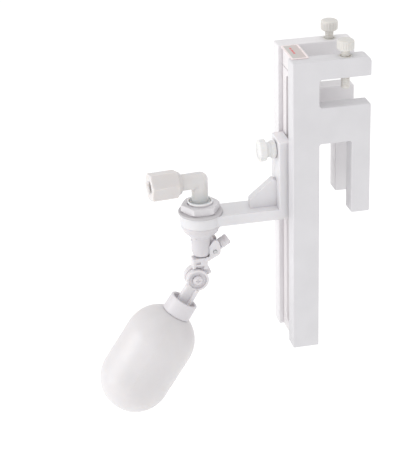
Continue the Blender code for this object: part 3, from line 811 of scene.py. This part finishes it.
PIVOT = Vector(JOINTS["lever_hinge"]["pos_m"])
HINGE = Vector(JOINTS["float_angle"]["pos_m"])
PIN_HOLE, JOINT_HOLE = 1.15 * MM, 1.7 * MM


def valve_body():
    """Threaded tube, flange, stepped cone and barrel, with the lug that carries the lever."""
    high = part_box("valve_body")[1]
    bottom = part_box("valve_body")[0].z
    tube, flange, rim = 7.0 * MM, ARM_BOTTOM - 0.15 * MM, 11.0 * MM
    barrel = 5.5 * MM
    socket, bore, seat = 6.0 * MM, 3.7 * MM, -70.0 * MM
    pitch = 1.5 * MM
    bore_top = rounded(
        [(bore, seat), (socket, seat + MM), (socket, high.z), (tube, high.z)],
        0.3 * MM,
        4,
        closed=False,
    )
    outside = rounded(
        [
            (tube, flange),
            (rim, flange, 0.3 * MM),
            (rim, -69.0 * MM, 0.3 * MM),
            (10.0 * MM, -69.5 * MM, 0.2 * MM),
            (9.7 * MM, -71.6 * MM, 0.5 * MM),
            (6.3 * MM, -75.0 * MM, 0.8 * MM),
            (5.9 * MM, -75.9 * MM, 0.2 * MM),
            (barrel, -76.3 * MM, 0.2 * MM),
            (barrel, -84.0 * MM, 0.5 * MM),
            (4.7 * MM, bottom, 0.3 * MM),
            (bore, bottom, 0.3 * MM),
            (bore, seat),
        ],
        0.2 * MM,
        4,
        closed=False,
    )
    thread = thread_run(tube, high.z - 0.4 * MM, flange + 0.6 * MM, pitch, 0.55 * MM)
    profile = bore_top[:-1] + [(tube - 0.35 * MM, high.z)] + thread + outside[:-1]
    body = lathe("valve_housing", profile, (VALVE_X, 0, 0), steps=128, pitch=pitch, tube=True)
    x, z = PIVOT.x, PIVOT.z
    left = VALVE_X + 4.5 * MM
    outline = hull(
        [
            (x, z, 2.45 * MM),
            (left, z + 1.2 * MM, 0.8 * MM),
            (left + 0.6 * MM, z + 7.4 * MM, 1.0 * MM),
        ]
    )
    lug = soften(slab("lug", outline, -2.6 * MM, 2.6 * MM), 0.3 * MM, 3, 60)
    nub = lathe(
        "nub",
        [(0, 1.2 * MM), (0.35 * MM, 1.1 * MM), (0.6 * MM, 0.8 * MM), (0.6 * MM, 0), (0, 0)],
        (VALVE_X - 4.8 * MM, 0, -77.4 * MM),
        (-1, 0, 0),
        32,
    )
    join(body, lug, nub)
    cut(body, rod("hole", PIN_HOLE, (x, -4 * MM, z), (x, 4 * MM, z), 32))
    show(body, "body", "valve_body", angle=45)


# ---------------------------------------------------------------- elbow and tube nut

ELBOW_CORNER = Vector(JOINTS["elbow_swivel"]["pos_m"])
LEG_AXIS = Vector(JOINTS["tube_nut_turn"]["axis"])
ELBOW_RADIUS, ELBOW_BORE, ELBOW_REACH = 4.55 * MM, 3.0 * MM, 14.4 * MM


def bent(points, reach, radius, fillet, down, steps=96, turns=14):
    """Rings of an L-shaped pipe. Points are (radius, z) up the lower leg. Then comes the bend,
    whose outer side is a ball and whose inner side is a small fillet. `reach` is the rings after
    it, as (distance, radius). Without `down` all come in the opposite order, for the bore."""
    rings = []
    across = LEG_AXIS.cross(Vector((0, 0, 1)))
    up = Vector((0, 0, 1))
    angles = [2 * math.pi * i / steps for i in range(steps)]
    for r, z in points:
        centre = Vector((ELBOW_CORNER.x, ELBOW_CORNER.y, z))
        rings.append([centre + r * (LEG_AXIS * math.cos(p) + across * math.sin(p)) for p in angles])
    for k in range(turns + 1):
        a = math.pi / 2 * k / turns
        outer = -LEG_AXIS * math.cos(a) + up * math.sin(a)
        inner = (LEG_AXIS - up) * (radius + fillet) + outer * fillet
        ring = []
        for p in angles:
            side = outer * -radius if math.cos(p) < 0 else inner
            ring.append(ELBOW_CORNER + side * math.cos(p) + across * radius * math.sin(p))
        rings.append(ring)
    for t, r in reach:
        centre = ELBOW_CORNER + LEG_AXIS * t
        rings.append([centre + r * (across * math.sin(p) - up * math.cos(p)) for p in angles])
    return rings if down else rings[::-1]


def elbow():
    """A swivel elbow whose lower leg, with two O-ring grooves, plugs into the threaded tube."""
    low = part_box("elbow")[0]
    r, groove, lead = ELBOW_RADIUS, 3.9 * MM, 0.3 * MM
    bend = ELBOW_CORNER.z - r - 1.5 * MM
    leg = [(ELBOW_BORE + 0.4 * MM, low.z), (r - 0.5 * MM, low.z), (r, low.z + 0.6 * MM)]
    for z in (-60.2 * MM, -57.4 * MM):
        leg += rounded(
            [
                (r, z - 1.1 * MM),
                (r, z - 0.9 * MM),
                (groove, z - 0.9 * MM),
                (groove, z + 0.9 * MM),
                (r, z + 0.9 * MM),
                (r, z + 1.2 * MM),
            ],
            0.15 * MM,
            3,
            closed=False,
        )
    collar, top = 5.75 * MM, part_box("valve_body")[1].z - 0.2 * MM
    leg += rounded(
        [
            (r, top - 2.0 * MM),
            (collar, top - 2.0 * MM),
            (collar, top),
            (r, top),
            (r, bend),
        ],
        0.25 * MM,
        4,
        closed=False,
    )
    far = [(ELBOW_REACH - lead, r), (ELBOW_REACH, r - lead)]
    rings = bent(leg, far, r, 0.8 * MM, down=True)
    bore = [(ELBOW_BORE, low.z + 0.4 * MM), (ELBOW_BORE, bend)]
    far = [(ELBOW_REACH - lead, ELBOW_BORE), (ELBOW_REACH, ELBOW_BORE + lead)]
    rings += bent(bore, far, ELBOW_BORE, 0.3 * MM, down=False)
    made = bmesh.new()
    rings = [[made.verts.new(p) for p in ring] for ring in rings]
    for first, second in zip(rings, rings[1:] + rings[:1]):
        for i in range(len(first)):
            j = (i + 1) % len(first)
            made.faces.new((first[i], first[j], second[j], second[i]))
    bmesh.ops.remove_doubles(made, verts=made.verts, dist=0.001 * MM)
    show(from_bmesh("elbow_fitting", made), "elbow", "elbow", angle=60)


def compression_nut():
    """A hexagonal nut with a round skirt towards the elbow and a chamfered mouth."""
    start, end, radius, collar = 11.2 * MM, 28.4 * MM, 8.2 * MM, 6.9 * MM
    at = ELBOW_CORNER
    nut = chamfered_hexagon(
        "tube_nut", radius, start + 2.2 * MM, end, at, LEG_AXIS, turn=0.2, slope=0.9
    )
    skirt = rounded(
        [
            (0, start + 6 * MM),
            (collar, start + 6 * MM),
            (collar, start + 2 * MM),
            (collar - MM, start),
            (0, start),
        ],
        0.5 * MM,
        4,
        closed=False,
    )
    join(nut, lathe("skirt", skirt, at, LEG_AXIS, 96))
    tube, clear = 3.3 * MM, ELBOW_RADIUS + 0.3 * MM
    bore = [
        (0, end + MM),
        (tube + 1.7 * MM, end + MM),
        (tube, end - 0.7 * MM),
        (tube, start + 8.6 * MM),
        (clear, start + 7.4 * MM),
        (clear, start - MM),
        (0, start - MM),
    ]
    cut(nut, lathe("bore", bore, at, LEG_AXIS, 96))
    show(soften(nut, 0.3 * MM, 3, 25), "fitting_nut", "compression_nut")


# ---------------------------------------------------------------- lever and joint

TAIL = Vector(JOINTS["level_screw_turn"]["axis"])
HINGE_RADIUS, JOINT_FACE = 6.3 * MM, -2.1 * MM


def lever():
    """Forked at its pivot, with a windowed neck and the fixed disc of the joint."""
    x, z = PIVOT.x, PIVOT.z
    left, right = -82.8 * MM, -74.4 * MM
    outline = rounded(
        [(left, -87.8 * MM), (left, -94.4 * MM), (right, -94.4 * MM), (right, -87.1 * MM)],
        0.5 * MM,
    )
    neck = slab("lever_moulding", outline, -4.3 * MM, 2.0 * MM)
    soften(neck, 0.3 * MM, 3, 60)
    outer, gap = 4.6 * MM, 2.9 * MM
    upper = (x + 0.3 * MM, z + 4.3 * MM, 2.2 * MM)
    lower = (right - 0.6 * MM, z - 4.6 * MM, 1.2 * MM)
    inner = (x - 2.4 * MM, z + 1.0 * MM, 2.2 * MM)
    cheeks = slab("cheeks", hull([(x, z, 3.1 * MM), inner, upper]), -outer, outer)
    yoke = slab("yoke", hull([(x, z - 1.2 * MM, 1.9 * MM), lower]), -outer, outer)
    soften(join(cheeks, yoke), 0.35 * MM, 3, 60)
    boss = rod("boss", 3.0 * MM, PIVOT + TAIL * 1.5 * MM, PIVOT + TAIL * 4.2 * MM, 64)
    soften(boss, 0.3 * MM, 3, 60)
    r, step, back = HINGE_RADIUS, 1.2 * MM, 3.3 * MM
    profile = rounded(
        [
            (0, -JOINT_FACE),
            (r - 1.0 * MM, -JOINT_FACE),
            (r - 1.0 * MM, -JOINT_FACE - step),
            (r, -JOINT_FACE - step, 0.3 * MM),
            (r, -back, 0.4 * MM),
            (0, -back),
        ],
        0.15 * MM,
        3,
        closed=False,
    )
    disc = lathe("disc", profile, HINGE, (0, -1, 0), 128)
    tab_outline = rounded(
        [
            (-75.0 * MM, -92.6 * MM),
            (-79.0 * MM, -99.6 * MM),
            (-73.4 * MM, -99.2 * MM),
            (-71.7 * MM, -98.2 * MM),
            (-74.0 * MM, -92.6 * MM),
        ],
        0.35 * MM,
    )
    tab = soften(slab("tab", tab_outline, JOINT_FACE + step, back), 0.25 * MM, 3, 60)
    join(neck, cheeks, boss, tab)
    circles = [
        (x, z, 2.75 * MM),
        (x - 9 * MM, z + 0.9 * MM, 3.6 * MM),
        (x - 3 * MM, z + 9 * MM, 5.8 * MM),
    ]
    fork = slab("fork", hull(circles), -gap, gap)
    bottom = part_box("valve_body")[0].z
    barrel = rod(
        "barrel", 5.75 * MM, (VALVE_X, 0, bottom - 0.5 * MM), (VALVE_X, 0, bottom + 20 * MM), 96
    )
    through = Vector((0, 8 * MM, 0))
    pin = rod("pin", PIN_HOLE, (x, -8 * MM, z), (x, 8 * MM, z), 32)
    screw = rod("screw", 1.45 * MM, PIVOT, PIVOT + TAIL * 6 * MM, 32)
    joint = rod("joint", JOINT_HOLE, HINGE - through, HINGE + through, 48)
    clear = rod(
        "clear",
        r + 0.35 * MM,
        HINGE + Vector((0, -9 * MM, 0)),
        HINGE + Vector((0, JOINT_FACE + 0.05 * MM, 0)),
        96,
    )
    windows = [
        block("window", (a * MM, -8 * MM, c * MM), (b * MM, -3.5 * MM, d * MM), 0.3 * MM)
        for a, b, c, d in ((-80.9, -78.5, -91.0, -89.5), (-81.2, -76.6, -93.6, -92.0))
    ]
    cut(neck, fork, barrel, clear, *windows)
    # The disc comes after the clearances, whose faces are too close to its own for the solver.
    cut(join(neck, disc), pin, screw, joint)
    show(neck, "linkage", "lever", angle=40)


def lever_pin():
    """A steel pin with rounded ends, proud of each cheek."""
    low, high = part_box("lever_pin")
    r, half = 0.95 * MM, (high.y - low.y) / 2
    profile = rounded([(0, half), (r, half), (r, -half), (0, -half)], 0.35 * MM, 5, closed=False)
    pin = lathe("pivot_pin", profile, PIVOT, (0, 1, 0), 48)
    show(pin, "steel", "lever_pin", angle=60)


def lever_screw():
    """The level-setting thumb screw: a ribbed barrel with a groove, on a thin threaded stud."""
    r, rib, stud, pitch = 3.0 * MM, 0.18 * MM, 1.15 * MM, 0.5 * MM
    profile = rounded(
        [(0, 9.8 * MM), (r - 0.6 * MM, 9.8 * MM), (r - 0.1 * MM, 9.3 * MM)],
        0.3 * MM,
        4,
        closed=False,
    )
    profile += [(r, h * MM, 0.0, rib) for h in (9.15, 8.6, 8.1, 7.75)]
    profile += [(r - 0.25 * MM, 7.65 * MM), (r - 0.25 * MM, 7.3 * MM)]
    profile += [(r, h * MM, 0.0, rib) for h in (7.2, 6.7, 6.1, 5.5, 4.95)]
    profile += [(r - 0.1 * MM, 4.75 * MM), (r - 0.3 * MM, 4.35 * MM), (stud, 4.35 * MM)]
    profile += thread_run(stud, 4.3 * MM, 3.1 * MM, pitch, 0.15 * MM)
    profile += [(0, 2.95 * MM)]
    screw = lathe("level_thumb_screw", profile, PIVOT, TAIL, steps=144, pitch=pitch, ribs=24)
    show(screw, "small", "lever_screw", angle=60)


FLOAT_LEAN, FLOAT_Y = math.radians(33.4), -4.2 * MM
ARM_AXIS = Vector((-math.sin(FLOAT_LEAN), 0, -math.cos(FLOAT_LEAN)))
FLOAT_ROOT = Vector((HINGE.x, FLOAT_Y, HINGE.z))
COLLAR_START, COLLAR_RADIUS = 13.6 * MM, 8.3 * MM
FLOAT_START, FLOAT_LENGTH = 21.3 * MM, 65.95 * MM
FLOAT_RADIUS, FLOAT_WALL, FLOAT_STEPS = 19.95 * MM, 1.3 * MM, 144
SEAM_TURN, SEAM_HALF_WIDTH, SEAM_HEIGHT = math.radians(24), math.radians(1.3), 0.14 * MM


def float_arm():
    """The turning disc of the joint with its cup rim, and the ribbed stem to the collar."""
    r, front, back, lip = HINGE_RADIUS, 6.0 * MM, 2.4 * MM, 1.3 * MM
    profile = rounded(
        [
            (r, front, 0.35 * MM),
            (r, back, 0.25 * MM),
            (JOINT_HOLE, back),
            (JOINT_HOLE, front - lip),
            (r - lip, front - lip, 0.3 * MM),
            (r - lip, front, 0.3 * MM),
        ],
        0.1 * MM,
        4,
    )
    disc = lathe("joint_arm", profile, HINGE, (0, -1, 0), 128, tube=True)
    across = Vector((-ARM_AXIS.z, 0, ARM_AXIS.x))
    w, t, rib, rise = 3.8 * MM, 1.7 * MM, 2.2 * MM, 1.0 * MM
    section = [(-w, -t), (w - rib, -t), (w - rib, -t - rise), (w, -t - rise), (w, t), (-w, t)]
    stem = slab("stem", rounded(section, 0.3 * MM, 3), 5.2 * MM, COLLAR_START + 4.2 * MM, "Z")
    place = Matrix((across, Vector((0, 1, 0)), ARM_AXIS)).transposed().to_4x4()
    stem.data.transform(Matrix.Translation(FLOAT_ROOT) @ place)
    if volume(stem) < 0:
        stem.data.flip_normals()
    join(disc, stem)
    show(disc, "linkage", "float_arm", angle=45)


def joint_screw():
    """A domed screw with a cross recess, through both discs to its nut."""
    crown, seat, head, shank, pitch = 6.7 * MM, 5.0 * MM, 2.7 * MM, 1.4 * MM, 0.6 * MM
    profile = rounded(
        [
            (0, crown),
            (1.5 * MM, crown, 0.5 * MM),
            (head, 5.95 * MM, 0.3 * MM),
            (head, seat, 0.15 * MM),
            (shank, seat),
        ],
        0.1 * MM,
        4,
        closed=False,
    )
    profile += thread_run(shank, 4.9 * MM, -6.0 * MM, pitch, 0.16 * MM)
    profile += [(1.15 * MM, -6.4 * MM), (0, -6.4 * MM)]
    screw = lathe("joint_bolt", profile, HINGE, (0, -1, 0), 72, pitch)
    y, deep = HINGE.y - crown, 0.4 * MM
    long, short = 1.2 * MM, 0.28 * MM
    for a, b in ((long, short), (short, long)):
        near = (HINGE.x - a, y - MM, HINGE.z - b)
        far = (HINGE.x + a, y + deep, HINGE.z + b)
        cut(screw, block("slot", near, far))
    show(screw, "small", "joint_screw", angle=40)


def joint_nut():
    low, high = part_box("joint_nut")
    radius = (high.x - low.x) / 2
    a, b = low.y - HINGE.y, high.y - HINGE.y
    nut = chamfered_hexagon("joint_hex_nut", radius, a, b, HINGE, (0, 1, 0), slope=0.6, bite=0.5)
    cut(nut, rod("hole", JOINT_HOLE, HINGE, HINGE + Vector((0, 9 * MM, 0)), 48))
    show(soften(nut, 0.12 * MM, 2, 25), "small", "joint_nut")


def float_collar():
    """A cup that takes the stem, with a rolled lip. Its foot follows the float's round top."""
    s, r = COLLAR_START, COLLAR_RADIUS
    floor, centre = s + 3.6 * MM, FLOAT_START + FLOAT_RADIUS
    reach = FLOAT_RADIUS + 0.3 * MM
    foot = [
        (a, -(centre - math.sqrt(reach * reach - a * a)))
        for a in (k * MM for k in (7.0, 6.0, 4.5, 3.0, 1.5, 0.0))
    ]
    profile = rounded(
        [
            (0, -floor),
            (r - 2.2 * MM, -floor, 0.6 * MM),
            (r - 1.7 * MM, -s, 0.5 * MM),
            (r - 0.25 * MM, -s, 0.6 * MM),
            (r, -(centre - math.sqrt(reach * reach - r * r)), 0.0),
        ],
        0.2 * MM,
        5,
        closed=False,
    )
    collar = lathe("float_cup", profile + foot, FLOAT_ROOT, -ARM_AXIS, 128)
    show(collar, "collar", "float_collar", angle=60)


def capsule(radius, start, end, mouth):
    """A profile down a capsule's outer side, open at the top where its radius is `mouth`."""
    low, high = start + radius, end - radius
    first, count, rows = math.asin(mouth / radius), 24, 12
    turns = [first + (math.pi / 2 - first) * i / count for i in range(count + 1)]
    profile = [(radius * math.sin(a), -low + radius * math.cos(a)) for a in turns]
    for i in range(1, rows):
        profile.append((radius, -low - (high - low) * i / rows))
    turns = [math.pi / 2 * i / count for i in range(count)]
    profile += [(radius * math.cos(a), -high - radius * math.sin(a)) for a in turns]
    return profile + [(0, -end)]


def float_shell():
    """A blow-moulded capsule with a faint parting ridge along its length."""
    start, end, mouth = FLOAT_START, FLOAT_START + FLOAT_LENGTH, 2.2 * MM
    outer = capsule(FLOAT_RADIUS, start, end, mouth)
    inner = capsule(FLOAT_RADIUS - FLOAT_WALL, start + FLOAT_WALL, end - FLOAT_WALL, mouth)
    profile = outer + inner[::-1]
    shell = lathe("float_bulb", profile, FLOAT_ROOT, -ARM_AXIS, FLOAT_STEPS, tube=True)
    seam = Vector((-math.sin(SEAM_TURN), -math.cos(SEAM_TURN), 0))
    seam = (seam - ARM_AXIS * seam.dot(ARM_AXIS)).normalized()
    for vertex in shell.data.vertices[: FLOAT_STEPS * len(outer)]:
        out = vertex.co - FLOAT_ROOT
        out -= ARM_AXIS * out.dot(ARM_AXIS)
        on_seam = abs(out.normalized().dot(seam)) > math.cos(SEAM_HALF_WIDTH)
        if on_seam and out.length > 3 * MM:
            vertex.co += out.normalized() * SEAM_HEIGHT
    show(shell, "float", "float_shell", angle=70)


# ---------------------------------------------------------------- floor, light and camera


def stage_floor():
    """A wide pale sheet, well below the lowest the float can reach."""
    size, drop = 6.0, 0.16
    z = cad_box[0].z - drop
    made = bmesh.new()
    corners = [(-size, -size), (size, -size), (size, size), (-size, size)]
    made.faces.new([made.verts.new((x, y, z)) for x, y in corners])
    floor = from_bmesh("floor", made)
    n = Nodes("pale_floor")
    cloud = n.span(n.noise(6, 3.0), 0.3, 0.7)
    n.wire(n.mix(cloud, (0.93, 0.93, 0.93), (0.95, 0.95, 0.95)), n.shader.inputs["Base Color"])
    n.shader.inputs["Roughness"].default_value = 0.9
    n.shader.inputs["Specular IOR Level"].default_value = 0.1
    n.shader.inputs["Emission Color"].default_value = (1.0, 1.0, 1.0, 1.0)
    n.shader.inputs["Emission Strength"].default_value = 0.20
    floor.data.materials.append(n.material)


def soft_light(name, place, target, size, power):
    data = bpy.data.lights.new(name, "AREA")
    data.shape, data.size, data.energy = "DISK", size, power
    lamp = bpy.data.objects.new(name, data)
    lamp.location = place
    lamp.rotation_mode = "QUATERNION"
    lamp.rotation_quaternion = (Vector(target) - Vector(place)).to_track_quat("-Z", "Y")
    bpy.context.scene.collection.objects.link(lamp)


def studio():
    world = bpy.data.worlds.new("studio")
    world.use_nodes = True
    background = world.node_tree.nodes["Background"]
    background.inputs["Color"].default_value = (1.0, 1.0, 1.0, 1.0)
    background.inputs["Strength"].default_value = 0.86
    bpy.context.scene.world = world
    middle = (cad_box[0] + cad_box[1]) / 2
    for name, offset, size, power in (
        ("left_key", (-1.3, 0.0, 0.15), 0.8, 5.2),
        ("front_fill", (-0.1, -1.6, 0.6), 1.0, 1.2),
        ("top_fill", (-0.2, -0.3, 1.6), 1.4, 4.4),
    ):
        soft_light(name, middle + Vector(offset), middle, size, power)
    bpy.context.scene.view_settings.view_transform = "Standard"


def camera():
    """Stands 12 degrees left of the plates' faces and 25 degrees above, with a slight roll."""
    right = Vector((0.974617, -0.222696, -0.022967))
    up = Vector((0.114601, 0.408140, 0.905698))
    ahead = Vector((0.192322, 0.885341, -0.423301))
    data = bpy.data.cameras.new("camera")
    data.sensor_fit, data.sensor_width, data.lens = "HORIZONTAL", 36.0, 147.24
    data.clip_start = 0.01
    eye = bpy.data.objects.new("camera", data)
    place = Matrix((right, up, -ahead)).transposed().to_4x4()
    place.translation = (-0.252767, -0.830484, 0.327524)
    eye.matrix_world = place
    bpy.context.scene.collection.objects.link(eye)
    bpy.context.scene.camera = eye


def build():
    camera()
    studio()
    stage_floor()
    for side in ("front", "rear"):
        side_plate(side)
    slide_rail()
    rail_head()
    rail_label()
    for side in ("front", "rear"):
        clamp_screw(side)
    slider_arm()
    slider_knob()
    slider_nut()
    sealing_washer()
    locknut()
    valve_body()
    elbow()
    compression_nut()
    lever()
    lever_pin()
    lever_screw()
    float_arm()
    joint_screw()
    joint_nut()
    float_collar()
    float_shell()
    relook("valve_seat", "body")
    relook("plunger", "body")
    for node in ("plunger_seal", "upper_o_ring", "lower_o_ring"):
        relook(node, "seal")
    relook("ferrule", "elbow")


build()
